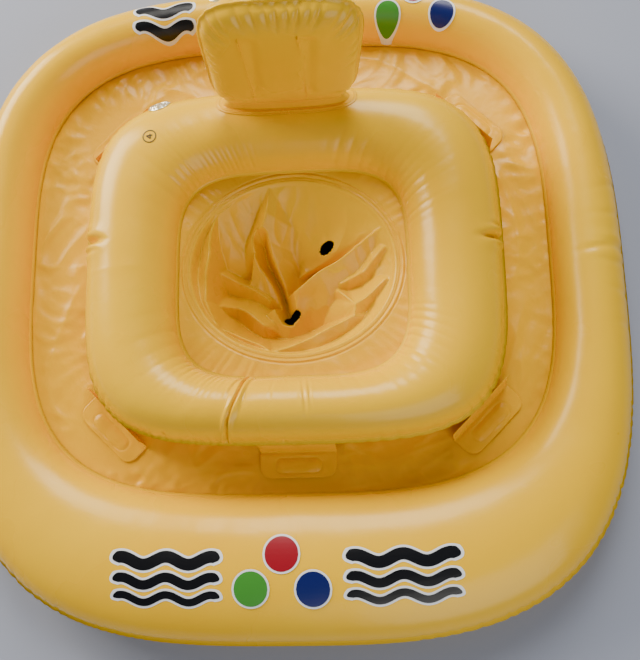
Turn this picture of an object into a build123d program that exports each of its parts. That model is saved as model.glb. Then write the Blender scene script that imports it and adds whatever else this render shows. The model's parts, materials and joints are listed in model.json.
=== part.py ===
from build123d import *
from collections import namedtuple
from math import cos, radians, sin, sqrt
import os

# Inflatable baby float: an outer ring, a web sheet, a seat ring on six anchor tabs,
# a seat sling with two leg holes, a backrest that bends at its base, and four push-in valves.
# Millimetres. +Z is up, the baby faces -Y, and Z = 0 is the surface that the float lies on.

os.makedirs("parts", exist_ok=True)

# Driving dimensions
FILM = 1.0  # thickness of each film panel as modelled
WELD = 5.0  # width of the outer ring's weld flanges
SEAT_WELD = 4.0  # width of the seat ring's weld flanges
GAP = 0.3  # clearance between soft pieces that only rest on each other
PANEL_INSET = 1.5  # a flat sheet stops this far inside the tube's seam

TUBE_HALF_HEIGHT = 48.0  # both rings
OUTER_MID_Z = TUBE_HALF_HEIGHT
WEB_TOP_Z = OUTER_MID_Z - FILM
SEAT_MID_Z = WEB_TOP_Z + GAP + TUBE_HALF_HEIGHT
SEAT_X = 12.0  # the seat lies a little to one side of the outer ring's middle

# Plan outlines are superellipses: |x / half_x| ** power + |y / half_y| ** power = 1
Outline = namedtuple("Outline", "centre_x centre_y half_x half_y power")
OUTER_EDGE = Outline(0, 0, 390, 390, 3.2)
OUTER_INNER_EDGE = Outline(0, 45, 313, 280, 3.5)
SEAT_EDGE = Outline(SEAT_X, 27, 235, 204, 4.0)
SEAT_OPENING = Outline(SEAT_X, 14, 133, 122, 4.0)
WEB_OPENING = Outline(SEAT_X, 18, 152, 136, 3.5)
SLING_RIM = Outline(SEAT_X, 22, 120, 104, 2.0)

SECTION_STEP = 10  # degrees between the sections of a ring's loft

SLING_FLOOR_Z = 12.0
SLING_WAIST_LEVEL = 0.5  # where the bowl's side bends, as a share of its height
SLING_WAIST_SHRINK = 0.35  # how much of its narrowing it has done there
SLING_FLOOR_HALF_X = 96.0
SLING_FLOOR_HALF_Y = 78.0
LEG_HOLE_RADIUS = 40.0
LEG_HOLE_SPACING = 92.0
LEG_HOLE_SHIFT_Y = -4.0
HEM_WIDTH = 4.5

TAB_WIDTH = 88.0
TAB_REACH = 38.0  # from the seat ring's seam to the tab's tip
TAB_LAP = 2.5  # where the tab starts under the seat ring's weld flange
TAB_SLOPE = 9.0  # how far out the tab has come when it meets the web
TAB_CORNER = 14.0
TAB_HEADINGS = {
    "front": -90,
    "rear": 90,
    "front_left": -135,
    "front_right": -45,
    "rear_left": 135,
    "rear_right": 45,
}

BACKREST_WIDTH = 166.0
BACKREST_HALF_DEPTH = 25.0
BACKREST_Y = 205.0
BACKREST_BOTTOM_Z = 149.0
BACKREST_TOP_Z = 324.0
BACKREST_CORNER = 34.0
BACKREST_ROUND = 20.0
BACKREST_WELD = 4.0
BACKREST_WEB_SPACING = 57.0
BACKREST_WEB_HEIGHT = 116.0
FLANGE_DEPTH = 44.0
FLANGE_CORNER = 21.0
HINGE_GAP = 0.5  # bare film between the base flange's rib and the backrest

VALVE_FLANGE_RADIUS = 14.0
VALVE_BORE = 9.5
VALVE_WALL = 1.0
VALVE_CUP_DEPTH = 15.0
VALVE_HOLE_RISE = 6.0  # the film's hole is cut from this far above the rim
VALVE_HOLE_CUT = 18.0
STEM_RADIUS = 6.0
STEM_BORE = 4.0
STEM_LENGTH = 26.0
STEM_HEAD_RADIUS = 8.5
STEM_HEAD_THICKNESS = 1.2
STEM_HEAD_TOP_Z = -1.8  # below the rim
STEM_FIT = 0.1  # clearance in the cup's floor
LIP_RADIUS = 7.2
LIP_FIT = 0.2
STEM_TRAVEL = 12.0
PLUG_RADIUS = 3.85
PLUG_HEAD_RADIUS = 6.7
PLUG_DEPTH = 8.5
PLUG_HEAD_THICKNESS = 1.5
PLUG_CHAMFER = 0.8
PULL_TAB_LENGTH = 3.2
PULL_TAB_WIDTH = 3.0
FLAP_RADIUS = 5.4
FLAP_THICKNESS = 0.6
VALVE_CLEAR = 0.3
VALVE_LIFT = 1.0  # the flat flange stands this far off the curved film


def reach(outline, origin, angle):
    """Distance from origin, along angle in degrees, to an outline that surrounds it."""
    low = 0.0
    high = 4 * outline.half_x
    for _ in range(60):
        middle = (low + high) / 2
        x = (origin[0] + middle * cos(radians(angle)) - outline.centre_x) / outline.half_x
        y = (origin[1] + middle * sin(radians(angle)) - outline.centre_y) / outline.half_y
        if abs(x) ** outline.power + abs(y) ** outline.power < 1:
            low = middle
        else:
            high = middle
    return low


def outline_points(outline, inset=0.0, count=48):
    """Points evenly turned about an outline's centre, drawn in by inset."""
    origin = (outline.centre_x, outline.centre_y)
    points = []
    for step in range(count):
        angle = 360 * step / count
        distance = reach(outline, origin, angle) - inset
        x = origin[0] + distance * cos(radians(angle))
        y = origin[1] + distance * sin(radians(angle))
        points.append((x, y))
    return points


def facing_point(outline, heading, outset=0.0):
    """The point of an outline whose outward normal has this heading, moved out by outset."""
    bend = 1 / (outline.power - 1)
    share_x = (outline.half_x * abs(cos(radians(heading)))) ** bend
    share_y = (outline.half_y * abs(sin(radians(heading)))) ** bend
    size = (share_x**outline.power + share_y**outline.power) ** (1 / outline.power)
    side_x = 1 if cos(radians(heading)) > 0 else -1
    side_y = 1 if sin(radians(heading)) > 0 else -1
    x = outline.centre_x + side_x * outline.half_x * share_x / size
    y = outline.centre_y + side_y * outline.half_y * share_y / size
    return x + outset * cos(radians(heading)), y + outset * sin(radians(heading))


def ring_section(inner, outer, mid_z, angle):
    """The plane of a tube's section at this angle, and the tube's width there."""
    origin = (outer.centre_x, inner.centre_y)
    near = reach(inner, origin, angle)
    far = reach(outer, origin, angle)
    across = Vector(cos(radians(angle)), sin(radians(angle)), 0)
    along = Vector(sin(radians(angle)), -cos(radians(angle)), 0)
    start = Vector(origin[0], origin[1], mid_z) + across * near
    return Plane(origin=start, x_dir=across, z_dir=along), far - near


def tube_point(inner, outer, mid_z, angle, share):
    """A point of the tube's upper surface, share of the way across it."""
    plane, width = ring_section(inner, outer, mid_z, angle)
    rise = 2 * sqrt(share * (1 - share))
    return plane.from_local_coords(
        Vector(share * width, FILM + rise * (TUBE_HALF_HEIGHT - FILM), 0)
    )


def tube_plane(inner, outer, mid_z, angle, share):
    """The plane that touches the tube there, facing out."""
    point = tube_point(inner, outer, mid_z, angle, share)
    around = tube_point(inner, outer, mid_z, angle + 1, share)
    around -= tube_point(inner, outer, mid_z, angle - 1, share)
    across = tube_point(inner, outer, mid_z, angle, share + 0.01)
    across -= tube_point(inner, outer, mid_z, angle, share - 0.01)
    touching = Plane(origin=point, x_dir=around, z_dir=across.cross(around))
    return touching.offset(VALVE_LIFT)


def ring_skin(inner, outer, mid_z, weld, side, valve_planes):
    """The film of one half of a tube, from weld flange to weld flange. side is 1 above, -1 below."""
    with BuildPart() as skin:
        for angle in range(-90, 91, SECTION_STEP):
            plane, width = ring_section(inner, outer, mid_z, angle)
            half = width / 2
            sweep = 180 * side
            with BuildSketch(plane):
                with BuildLine():
                    Polyline(
                        (width, side * FILM),
                        (width + weld, side * FILM),
                        (width + weld, 0),
                        (width - FILM, 0),
                    )
                    EllipticalCenterArc(
                        (half, 0), half - FILM, TUBE_HALF_HEIGHT - FILM, 0, arc_size=sweep
                    )
                    Polyline(
                        (FILM, 0),
                        (-weld, 0),
                        (-weld, side * FILM),
                        (0, side * FILM),
                    )
                    EllipticalCenterArc(
                        (half, side * FILM), half, TUBE_HALF_HEIGHT - FILM, 0, arc_size=sweep
                    )
                make_face()
        loft()
        mirror(about=Plane.YZ.offset(outer.centre_x))
        for plane in valve_planes:
            with BuildSketch(plane.offset(VALVE_HOLE_RISE)):
                Circle(VALVE_BORE + VALVE_WALL + VALVE_CLEAR)
            extrude(amount=-VALVE_HOLE_CUT, mode=Mode.SUBTRACT)
    return skin


def flat_panel(outline, inset, opening, opening_inset, base_z):
    """A flat sheet between two outlines."""
    with BuildPart() as panel:
        with BuildSketch(Plane.XY.offset(base_z)):
            with BuildLine():
                Spline(*outline_points(outline, inset), periodic=True)
            make_face()
            with BuildLine():
                Spline(*outline_points(opening, opening_inset), periodic=True)
            make_face(mode=Mode.SUBTRACT)
        extrude(amount=FILM)
    return panel


def save(builder, name):
    """Label a finished piece and write it."""
    builder.part.label = name
    export_step(builder.part, f"parts/{name}.step")


# Where each valve is welded in
REAR_VALVE_TURN = 13  # degrees each side of the rear centre
REAR_VALVE_SHARE = 0.78
SEAT_VALVE_ANGLE = 127
SEAT_VALVE_SHARE = 0.92
BACKREST_VALVE_Z = 186.0
OUTER_RING = (OUTER_INNER_EDGE, OUTER_EDGE, OUTER_MID_Z)
SEAT_RING = (SEAT_OPENING, SEAT_EDGE, SEAT_MID_Z)
VALVE_PLANES = {
    1: tube_plane(*OUTER_RING, 90 + REAR_VALVE_TURN, REAR_VALVE_SHARE),
    2: tube_plane(*OUTER_RING, 90 - REAR_VALVE_TURN, REAR_VALVE_SHARE),
    3: Plane(
        origin=(SEAT_X, BACKREST_Y + BACKREST_HALF_DEPTH, BACKREST_VALVE_Z),
        x_dir=(1, 0, 0),
        z_dir=(0, 1, 0),
    ),
    4: tube_plane(*SEAT_RING, SEAT_VALVE_ANGLE, SEAT_VALVE_SHARE),
}

# Outer ring and its web sheet
save(ring_skin(*OUTER_RING, WELD, 1, [VALVE_PLANES[1], VALVE_PLANES[2]]), "outer_ring_top_skin")
save(ring_skin(*OUTER_RING, WELD, -1, []), "outer_ring_bottom_skin")
save(flat_panel(OUTER_INNER_EDGE, PANEL_INSET, WEB_OPENING, 0, WEB_TOP_Z - FILM), "web_sheet")

# Baffles that part the outer ring into a left and a right chamber
for name, angle in (("outer_baffle_front", -90), ("outer_baffle_rear", 90)):
    section, width = ring_section(*OUTER_RING, angle)
    with BuildPart() as baffle:
        with BuildSketch(section):
            with Locations((width / 2, 0)):
                Ellipse(width / 2 - FILM - GAP, TUBE_HALF_HEIGHT - FILM - GAP)
        extrude(amount=FILM / 2, both=True)
    save(baffle, name)

# Seat ring, and the flat collar inside its opening
save(ring_skin(*SEAT_RING, SEAT_WELD, 1, [VALVE_PLANES[4]]), "seat_ring_top_skin")
save(ring_skin(*SEAT_RING, SEAT_WELD, -1, []), "seat_ring_bottom_skin")
COLLAR_Z = SEAT_MID_Z - 2 * FILM
save(flat_panel(SEAT_OPENING, PANEL_INSET, SLING_RIM, SEAT_WELD, COLLAR_Z), "seat_collar")

# Seat sling: a film wall that hangs from the collar, and a floor panel with two leg holes
SLING_LEVELS = (
    (COLLAR_Z, 0.0),
    (COLLAR_Z * SLING_WAIST_LEVEL, SLING_WAIST_SHRINK),
    (SLING_FLOOR_Z, 1.0),
)
with BuildPart() as sling_wall:
    for level, shrink in SLING_LEVELS:
        half_x = SLING_RIM.half_x + shrink * (SLING_FLOOR_HALF_X - SLING_RIM.half_x)
        half_y = SLING_RIM.half_y + shrink * (SLING_FLOOR_HALF_Y - SLING_RIM.half_y)
        with BuildSketch(Plane.XY.offset(level)):
            with Locations((SLING_RIM.centre_x, SLING_RIM.centre_y)):
                Ellipse(half_x, half_y)
    loft()
    ends = sling_wall.faces().filter_by(GeomType.PLANE)
    offset(amount=-FILM, openings=ends)
save(sling_wall, "sling_wall")

LEG_HOLE_Y = SLING_RIM.centre_y + LEG_HOLE_SHIFT_Y
with BuildPart() as sling_floor:
    with BuildSketch(Plane.XY.offset(SLING_FLOOR_Z)):
        with Locations((SLING_RIM.centre_x, SLING_RIM.centre_y)):
            Ellipse(SLING_FLOOR_HALF_X, SLING_FLOOR_HALF_Y)
        with Locations((SLING_RIM.centre_x, LEG_HOLE_Y)):
            with GridLocations(LEG_HOLE_SPACING, 0, 2, 1):
                Circle(LEG_HOLE_RADIUS, mode=Mode.SUBTRACT)
    extrude(amount=-FILM)
save(sling_floor, "sling_floor")

# Hems welded round the leg holes
for name, side in (("leg_hole_hem_left", -1), ("leg_hole_hem_right", 1)):
    with BuildPart() as hem:
        with BuildSketch(Plane.XY.offset(SLING_FLOOR_Z)):
            centre_x = SLING_RIM.centre_x + side * LEG_HOLE_SPACING / 2
            with Locations((centre_x, LEG_HOLE_Y)):
                Circle(LEG_HOLE_RADIUS + HEM_WIDTH)
                Circle(LEG_HOLE_RADIUS, mode=Mode.SUBTRACT)
        extrude(amount=FILM)
    save(hem, name)

# Anchor tabs: from under the seat ring's outer seam down to the web
for place, heading in TAB_HEADINGS.items():
    seam_x, seam_y = facing_point(SEAT_EDGE, heading)
    out = Vector(cos(radians(heading)), sin(radians(heading)), 0)
    sideways = Vector(sin(radians(heading)), -cos(radians(heading)), 0)
    side_view = Plane(origin=(seam_x, seam_y, 0), x_dir=out, z_dir=sideways)
    top_z = SEAT_MID_Z - FILM
    with BuildPart() as tab:
        with BuildSketch(side_view):
            with BuildLine():
                Polyline(
                    (TAB_LAP, top_z),
                    (SEAT_WELD + FILM, top_z),
                    (TAB_SLOPE + FILM, WEB_TOP_Z + FILM),
                    (TAB_REACH, WEB_TOP_Z + FILM),
                    (TAB_REACH, WEB_TOP_Z),
                    (TAB_SLOPE, WEB_TOP_Z),
                    (SEAT_WELD, top_z - FILM),
                    (TAB_LAP, top_z - FILM),
                    close=True,
                )
            make_face()
        extrude(amount=TAB_WIDTH / 2, both=True)
        tip = tab.faces().sort_by(Axis(origin=(0, 0, 0), direction=tuple(out)))[-1]
        fillet(tip.edges().filter_by(Axis.Z), radius=TAB_CORNER)
    save(tab, f"anchor_tab_{place}")

# Backrest: two film shells welded round their edge, with two webs that keep it flat
BACKREST_HEIGHT = BACKREST_TOP_Z - BACKREST_BOTTOM_Z
BACKREST_CENTRE = (SEAT_X, (BACKREST_TOP_Z + BACKREST_BOTTOM_Z) / 2)


def backrest_skin(side):
    """side is -1 for the front shell, which the baby leans on, and 1 for the back shell."""
    seam = Plane(origin=(0, BACKREST_Y, 0), x_dir=(1, 0, 0), z_dir=(0, -1, 0))
    depth = -side * BACKREST_HALF_DEPTH
    inside = -side * (BACKREST_HALF_DEPTH - FILM)
    shell_width = BACKREST_WIDTH - 2 * BACKREST_WELD
    shell_height = BACKREST_HEIGHT - 2 * BACKREST_WELD
    shell_corner = BACKREST_CORNER - BACKREST_WELD
    with BuildPart(mode=Mode.PRIVATE) as hollow:
        with BuildSketch(seam):
            with Locations(BACKREST_CENTRE):
                RectangleRounded(
                    shell_width - 2 * FILM, shell_height - 2 * FILM, shell_corner - FILM
                )
        extrude(amount=inside)
        far = hollow.faces().sort_by(Axis.Y)[-1 if side > 0 else 0]
        fillet(far.edges(), radius=BACKREST_ROUND - FILM)
    with BuildPart() as skin:
        with BuildSketch(seam):
            with Locations(BACKREST_CENTRE):
                RectangleRounded(shell_width, shell_height, shell_corner)
        extrude(amount=depth)
        far = skin.faces().sort_by(Axis.Y)[-1 if side > 0 else 0]
        fillet(far.edges(), radius=BACKREST_ROUND)
        with BuildSketch(seam):
            with Locations(BACKREST_CENTRE):
                RectangleRounded(BACKREST_WIDTH, BACKREST_HEIGHT, BACKREST_CORNER)
        extrude(amount=-side * FILM)
        add(hollow.part, mode=Mode.SUBTRACT)
        if side > 0:
            with BuildSketch(VALVE_PLANES[3].offset(VALVE_HOLE_RISE)):
                Circle(VALVE_BORE + VALVE_WALL + VALVE_CLEAR)
            extrude(amount=-VALVE_HOLE_CUT, mode=Mode.SUBTRACT)
    return skin


save(backrest_skin(-1), "backrest_front_skin")
save(backrest_skin(1), "backrest_back_skin")

for name, side in (("backrest_web_left", -1), ("backrest_web_right", 1)):
    with BuildPart() as web:
        with BuildSketch(Plane.XY.offset(BACKREST_CENTRE[1] - BACKREST_WEB_HEIGHT / 2)):
            with Locations((SEAT_X + side * BACKREST_WEB_SPACING / 2, BACKREST_Y)):
                Rectangle(FILM, 2 * (BACKREST_HALF_DEPTH - FILM - GAP))
        extrude(amount=BACKREST_WEB_HEIGHT)
    save(web, name)

# Base flange: the strip that ties the backrest to the seat ring and bends as it tilts
FLANGE_Z = SEAT_MID_Z + TUBE_HALF_HEIGHT + GAP
HINGE_TOP_Z = BACKREST_BOTTOM_Z - HINGE_GAP
with BuildPart() as backrest_base_flange:
    with BuildSketch(Plane.XY.offset(FLANGE_Z)):
        with Locations((SEAT_X, BACKREST_Y)):
            RectangleRounded(BACKREST_WIDTH, FLANGE_DEPTH, FLANGE_CORNER)
    extrude(amount=FILM)
    with BuildSketch(Plane.XY.offset(FLANGE_Z + FILM)):
        with Locations((SEAT_X, BACKREST_Y)):
            Rectangle(BACKREST_WIDTH - 2 * BACKREST_CORNER, FILM)
    extrude(amount=HINGE_TOP_Z - FLANGE_Z - FILM)
save(backrest_base_flange, "backrest_base_flange")

# Valves: a cup welded to the film, a stem that pushes into it, a plug, and a one-way flap
CUP_FLOOR_Z = -VALVE_CUP_DEPTH
STEM_END_Z = STEM_HEAD_TOP_Z - STEM_LENGTH

for number, plane in VALVE_PLANES.items():
    with BuildPart() as valve_base:
        with BuildSketch(plane):
            Circle(VALVE_FLANGE_RADIUS)
            Circle(VALVE_BORE, mode=Mode.SUBTRACT)
        extrude(amount=FILM)
        with BuildSketch(plane.offset(CUP_FLOOR_Z)):
            Circle(VALVE_BORE + VALVE_WALL)
            Circle(VALVE_BORE, mode=Mode.SUBTRACT)
        extrude(amount=VALVE_CUP_DEPTH)
        with BuildSketch(plane.offset(CUP_FLOOR_Z)):
            Circle(VALVE_BORE)
            Circle(STEM_RADIUS + STEM_FIT, mode=Mode.SUBTRACT)
        extrude(amount=VALVE_WALL)
    save(valve_base, f"valve{number}_base")

    with BuildPart() as valve_stem:
        with BuildSketch(plane.offset(STEM_END_Z)):
            Circle(STEM_RADIUS)
            Circle(STEM_BORE, mode=Mode.SUBTRACT)
        extrude(amount=STEM_LENGTH)
        with BuildSketch(plane.offset(STEM_HEAD_TOP_Z - STEM_HEAD_THICKNESS)):
            Circle(STEM_HEAD_RADIUS)
            Circle(STEM_BORE, mode=Mode.SUBTRACT)
        extrude(amount=STEM_HEAD_THICKNESS)
        with BuildSketch(plane.offset(STEM_END_Z)):
            Circle(LIP_RADIUS)
            Circle(STEM_BORE, mode=Mode.SUBTRACT)
        extrude(amount=CUP_FLOOR_Z - STEM_TRAVEL - STEM_END_Z - LIP_FIT)
    save(valve_stem, f"valve{number}_stem")

    with BuildPart() as valve_plug:
        with BuildSketch(plane.offset(STEM_HEAD_TOP_Z - PLUG_DEPTH)):
            Circle(PLUG_RADIUS)
        extrude(amount=PLUG_DEPTH + VALVE_CLEAR)
        rims = valve_plug.edges().filter_by(GeomType.CIRCLE)
        chamfer(rims.sort_by_distance(plane.offset(STEM_END_Z).origin)[0], length=PLUG_CHAMFER)
        with BuildSketch(plane.offset(STEM_HEAD_TOP_Z + VALVE_CLEAR)):
            Circle(PLUG_HEAD_RADIUS)
            with Locations((PLUG_HEAD_RADIUS, 0)):
                Rectangle(PULL_TAB_LENGTH, PULL_TAB_WIDTH)
        extrude(amount=PLUG_HEAD_THICKNESS)
    save(valve_plug, f"valve{number}_plug")

    with BuildPart() as valve_flap:
        with BuildSketch(plane.offset(STEM_END_Z - VALVE_CLEAR)):
            Circle(FLAP_RADIUS)
        extrude(amount=-FLAP_THICKNESS)
    save(valve_flap, f"valve{number}_flap")

for number, plane in VALVE_PLANES.items():
    print(f"valve {number}: origin {plane.origin}, outward {plane.z_dir}, across {plane.x_dir}")
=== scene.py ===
import bpy
import bmesh
import json
from functools import lru_cache
from math import atan2, cos, degrees, exp, floor, hypot, pi, radians, sin, sqrt
from mathutils import Matrix, Vector, noise
from mathutils.bvhtree import BVHTree


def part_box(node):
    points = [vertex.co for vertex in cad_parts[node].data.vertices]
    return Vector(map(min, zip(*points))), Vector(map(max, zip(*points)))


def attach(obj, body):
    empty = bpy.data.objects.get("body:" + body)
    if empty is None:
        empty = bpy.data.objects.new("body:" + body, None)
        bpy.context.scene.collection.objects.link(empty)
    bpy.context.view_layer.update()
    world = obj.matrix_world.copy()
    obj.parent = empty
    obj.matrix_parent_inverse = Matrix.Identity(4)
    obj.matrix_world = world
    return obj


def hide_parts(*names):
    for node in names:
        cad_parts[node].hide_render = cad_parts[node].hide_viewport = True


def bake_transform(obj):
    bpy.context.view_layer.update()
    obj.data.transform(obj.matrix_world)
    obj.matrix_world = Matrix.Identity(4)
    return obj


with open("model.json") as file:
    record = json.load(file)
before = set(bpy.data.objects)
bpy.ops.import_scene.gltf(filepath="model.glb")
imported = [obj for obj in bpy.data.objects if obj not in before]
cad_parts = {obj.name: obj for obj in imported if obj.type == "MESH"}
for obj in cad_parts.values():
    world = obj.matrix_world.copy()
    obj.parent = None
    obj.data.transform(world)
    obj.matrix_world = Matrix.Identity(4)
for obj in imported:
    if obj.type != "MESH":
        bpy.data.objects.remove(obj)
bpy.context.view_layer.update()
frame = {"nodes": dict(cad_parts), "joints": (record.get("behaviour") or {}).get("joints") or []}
mm = 0.001


def srgb(code):
    parts = [int(code[i:i + 2], 16) / 255 for i in (1, 3, 5)]
    return [p / 12.92 if p <= 0.04045 else ((p + 0.055) / 1.055) ** 2.4 for p in parts] + [1]


def addNode(tree, kind, inputs=None, **settings):
    node = tree.nodes.new(kind)
    for name, value in settings.items():
        setattr(node, name, value)
    for name, value in (inputs or {}).items():
        if isinstance(value, bpy.types.NodeSocket):
            tree.links.new(value, node.inputs[name])
        else:
            node.inputs[name].default_value = value
    return node


def blendRange(x, low, high):
    t = min(1, max(0, (x - low) / (high - low)))
    return t * t * (3 - 2 * t)


def rough(*at):
    return noise.noise(Vector(at))


def addPiece(name, bm, material, body, replaced=(), smooth=True):
    mesh = bpy.data.meshes.new(name)
    bmesh.ops.recalc_face_normals(bm, faces=bm.faces)
    for face in bm.faces:
        face.smooth = smooth
    bm.to_mesh(mesh)
    bm.free()
    piece = bpy.data.objects.new(name, mesh)
    bpy.context.scene.collection.objects.link(piece)
    mesh.materials.append(material)
    if body:
        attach(piece, body)
    if replaced:
        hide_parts(*replaced)
    return piece


def vinylFilm(name, look):
    # calendered soft vinyl film: deep even colour, a wet-looking gloss, and a very fine
    # rolled grain that softens the highlights
    material = bpy.data.materials.new(name)
    material.use_nodes = True
    tree = material.node_tree
    shader = tree.nodes["Principled BSDF"]
    place = addNode(tree, "ShaderNodeTexCoord").outputs["Object"]
    clouds = addNode(tree, "ShaderNodeTexNoise",
                     {"Vector": place, "Scale": 1 / look["patchSize"], "Detail": 3.0})
    colour = addNode(tree, "ShaderNodeMix", {"Factor": clouds.outputs["Fac"]}, data_type="RGBA")
    # the RGBA sockets of a Mix node share names with the others, so they are set by index
    colour.inputs[6].default_value = srgb(look["deep"])
    colour.inputs[7].default_value = srgb(look["light"])
    tree.links.new(colour.outputs[2], shader.inputs["Base Color"])
    gloss = addNode(tree, "ShaderNodeMapRange",
                    {"Value": clouds.outputs["Fac"], "From Min": 0.3, "From Max": 0.7,
                     "To Min": look["roughness"] - 0.04, "To Max": look["roughness"] + 0.05})
    tree.links.new(gloss.outputs["Result"], shader.inputs["Roughness"])
    grain = addNode(tree, "ShaderNodeTexNoise",
                    {"Vector": place, "Scale": 1 / look["grainSize"], "Detail": 2.0})
    crinkle = addNode(tree, "ShaderNodeTexNoise",
                      {"Vector": place, "Scale": 1 / look["crinkleSize"], "Detail": 4.0,
                       "Distortion": 0.6})
    soft = addNode(tree, "ShaderNodeBump",
                   {"Height": crinkle.outputs["Fac"], "Strength": 1.0,
                    "Distance": look["crinkleDepth"]})
    fine = addNode(tree, "ShaderNodeBump",
                   {"Height": grain.outputs["Fac"], "Normal": soft.outputs["Normal"],
                    "Strength": 1.0, "Distance": look["grainDepth"]})
    tree.links.new(fine.outputs["Normal"], shader.inputs["Normal"])
    shader.inputs["IOR"].default_value = 1.53
    shader.inputs["Subsurface Weight"].default_value = look["glow"]
    shader.inputs["Subsurface Radius"].default_value = (1.0, 0.55, 0.12)
    shader.inputs["Subsurface Scale"].default_value = 4 * mm
    shader.inputs["Specular IOR Level"].default_value = look["gloss"]
    shader.inputs["Coat Weight"].default_value = look["coat"]
    shader.inputs["Coat Roughness"].default_value = 0.12
    return material


def clearVinyl(name):
    # soft clear vinyl moulding, as on valves: see-through with a warm tint and a dull skin
    material = bpy.data.materials.new(name)
    material.use_nodes = True
    tree = material.node_tree
    shader = tree.nodes["Principled BSDF"]
    place = addNode(tree, "ShaderNodeTexCoord").outputs["Object"]
    haze = addNode(tree, "ShaderNodeTexNoise", {"Vector": place, "Scale": 1 / (2.5 * mm), "Detail": 3.0})
    gloss = addNode(tree, "ShaderNodeMapRange",
                    {"Value": haze.outputs["Fac"], "To Min": 0.12, "To Max": 0.3})
    tree.links.new(gloss.outputs["Result"], shader.inputs["Roughness"])
    shader.inputs["Base Color"].default_value = srgb("#F0E2B0")
    shader.inputs["IOR"].default_value = 1.53
    shader.inputs["Transmission Weight"].default_value = 0.55
    return material


def printedInk(name, code):
    # screen-printed vinyl ink: opaque, flatter than the film, with a faint mesh texture
    material = bpy.data.materials.new(name)
    material.use_nodes = True
    tree = material.node_tree
    shader = tree.nodes["Principled BSDF"]
    place = addNode(tree, "ShaderNodeTexCoord").outputs["Object"]
    mottle = addNode(tree, "ShaderNodeTexNoise", {"Vector": place, "Scale": 1 / (1.5 * mm), "Detail": 2.0})
    gloss = addNode(tree, "ShaderNodeMapRange",
                    {"Value": mottle.outputs["Fac"], "To Min": 0.28, "To Max": 0.42})
    tree.links.new(gloss.outputs["Result"], shader.inputs["Roughness"])
    bump = addNode(tree, "ShaderNodeBump",
                   {"Height": mottle.outputs["Fac"], "Strength": 1.0, "Distance": 0.02 * mm})
    tree.links.new(bump.outputs["Normal"], shader.inputs["Normal"])
    shader.inputs["Base Color"].default_value = srgb(code)
    shader.inputs["IOR"].default_value = 1.5
    return material


tightLook = {"deep": "#F4B80A", "light": "#FBCB14", "patchSize": 0.16, "roughness": 0.27,
             "grainSize": 0.9 * mm, "grainDepth": 0.012 * mm, "crinkleSize": 26 * mm,
             "crinkleDepth": 0.35 * mm, "glow": 0.04, "gloss": 0.36, "coat": 0.06}
slackLook = {**tightLook, "deep": "#EDAE0A", "light": "#F6BF14", "roughness": 0.3,
             "crinkleSize": 14 * mm, "crinkleDepth": 0.5 * mm, "gloss": 0.28, "coat": 0.02}
slingLook = {**slackLook, "deep": "#F1B60C", "light": "#F9C81A", "crinkleSize": 11 * mm,
             "crinkleDepth": 0.4 * mm}

tightVinyl = vinylFilm("inflated vinyl film", tightLook)
slackVinyl = vinylFilm("slack vinyl film", slackLook)
slingVinyl = vinylFilm("creased vinyl film", slingLook)
valveVinyl = clearVinyl("clear vinyl moulding")
inks = {"black": printedInk("black vinyl ink", "#0E0F14"),
        "white": printedInk("white vinyl ink", "#E8ECF2"),
        "red": printedInk("red vinyl ink", "#960A22"),
        "green": printedInk("green vinyl ink", "#3C8A2E"),
        "blue": printedInk("blue vinyl ink", "#121C5E")}
print("materials ready")


# a plan outline is |x / halfX| ** power + |y / halfY| ** power = 1, given in mm
def outline(centreX, centreY, halfX, halfY, power):
    return (centreX * mm, centreY * mm, halfX * mm, halfY * mm, power)


@lru_cache(maxsize=None)
def reach(edge, origin, angle):
    # distance from origin to the edge along this angle, by halving
    centreX, centreY, halfX, halfY, power = edge
    low, high = 0.0, 4 * halfX
    dirX, dirY = cos(angle), sin(angle)
    for _ in range(36):
        middle = (low + high) / 2
        x = abs((origin[0] + middle * dirX - centreX) / halfX)
        y = abs((origin[1] + middle * dirY - centreY) / halfY)
        if x ** power + y ** power < 1:
            low = middle
        else:
            high = middle
    return low


outerLow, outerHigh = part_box("outer_ring_top_skin")
seatLow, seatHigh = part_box("seat_ring_top_skin")
seatX = (seatLow.x + seatHigh.x) / 2 / mm
outerRing = {
    "inner": outline(0, 45, 313, 280, 3.5),
    "outer": outline(0, 0, 390, 390, 3.2),
    "midZ": outerLow.z, "halfHeight": outerHigh.z - outerLow.z - 0.6 * mm,
    "weld": 5 * mm, "innerWeld": 3 * mm,
    "steps": 860, "around": 88,
    "puckerPitch": 14.5 * mm, "puckerDepth": 3.4 * mm, "puckerReach": 0.55,
    "innerPuckerPitch": 19 * mm, "innerPuckerDepth": 0.9 * mm, "innerPuckerReach": 0.5,
    "wave": 0.9 * mm, "seed": 3.0,
    # angle, half width in degrees, depth, from and to round the section (0 outer seam, 1 inner)
    "creases": [(-2.4, 0.9, 2.2, -0.2, 0.75), (-1.0, 0.7, 1.2, -0.2, 0.6), (-4.6, 0.8, 1.0, -0.1, 0.6),
                (4.0, 0.8, 0.9, 0.0, 0.6), (9.0, 0.9, 0.8, 0.0, 0.55), (-9.5, 0.9, 0.9, 0.0, 0.55),
                (-15.0, 0.8, 0.7, 0.0, 0.5), (174.0, 0.9, 1.1, 0.0, 0.7), (178.5, 0.8, 0.8, 0.0, 0.6),
                (-176.0, 0.9, 1.0, 0.0, 0.65), (-171.0, 0.9, 0.8, 0.0, 0.6)],
}
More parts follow.
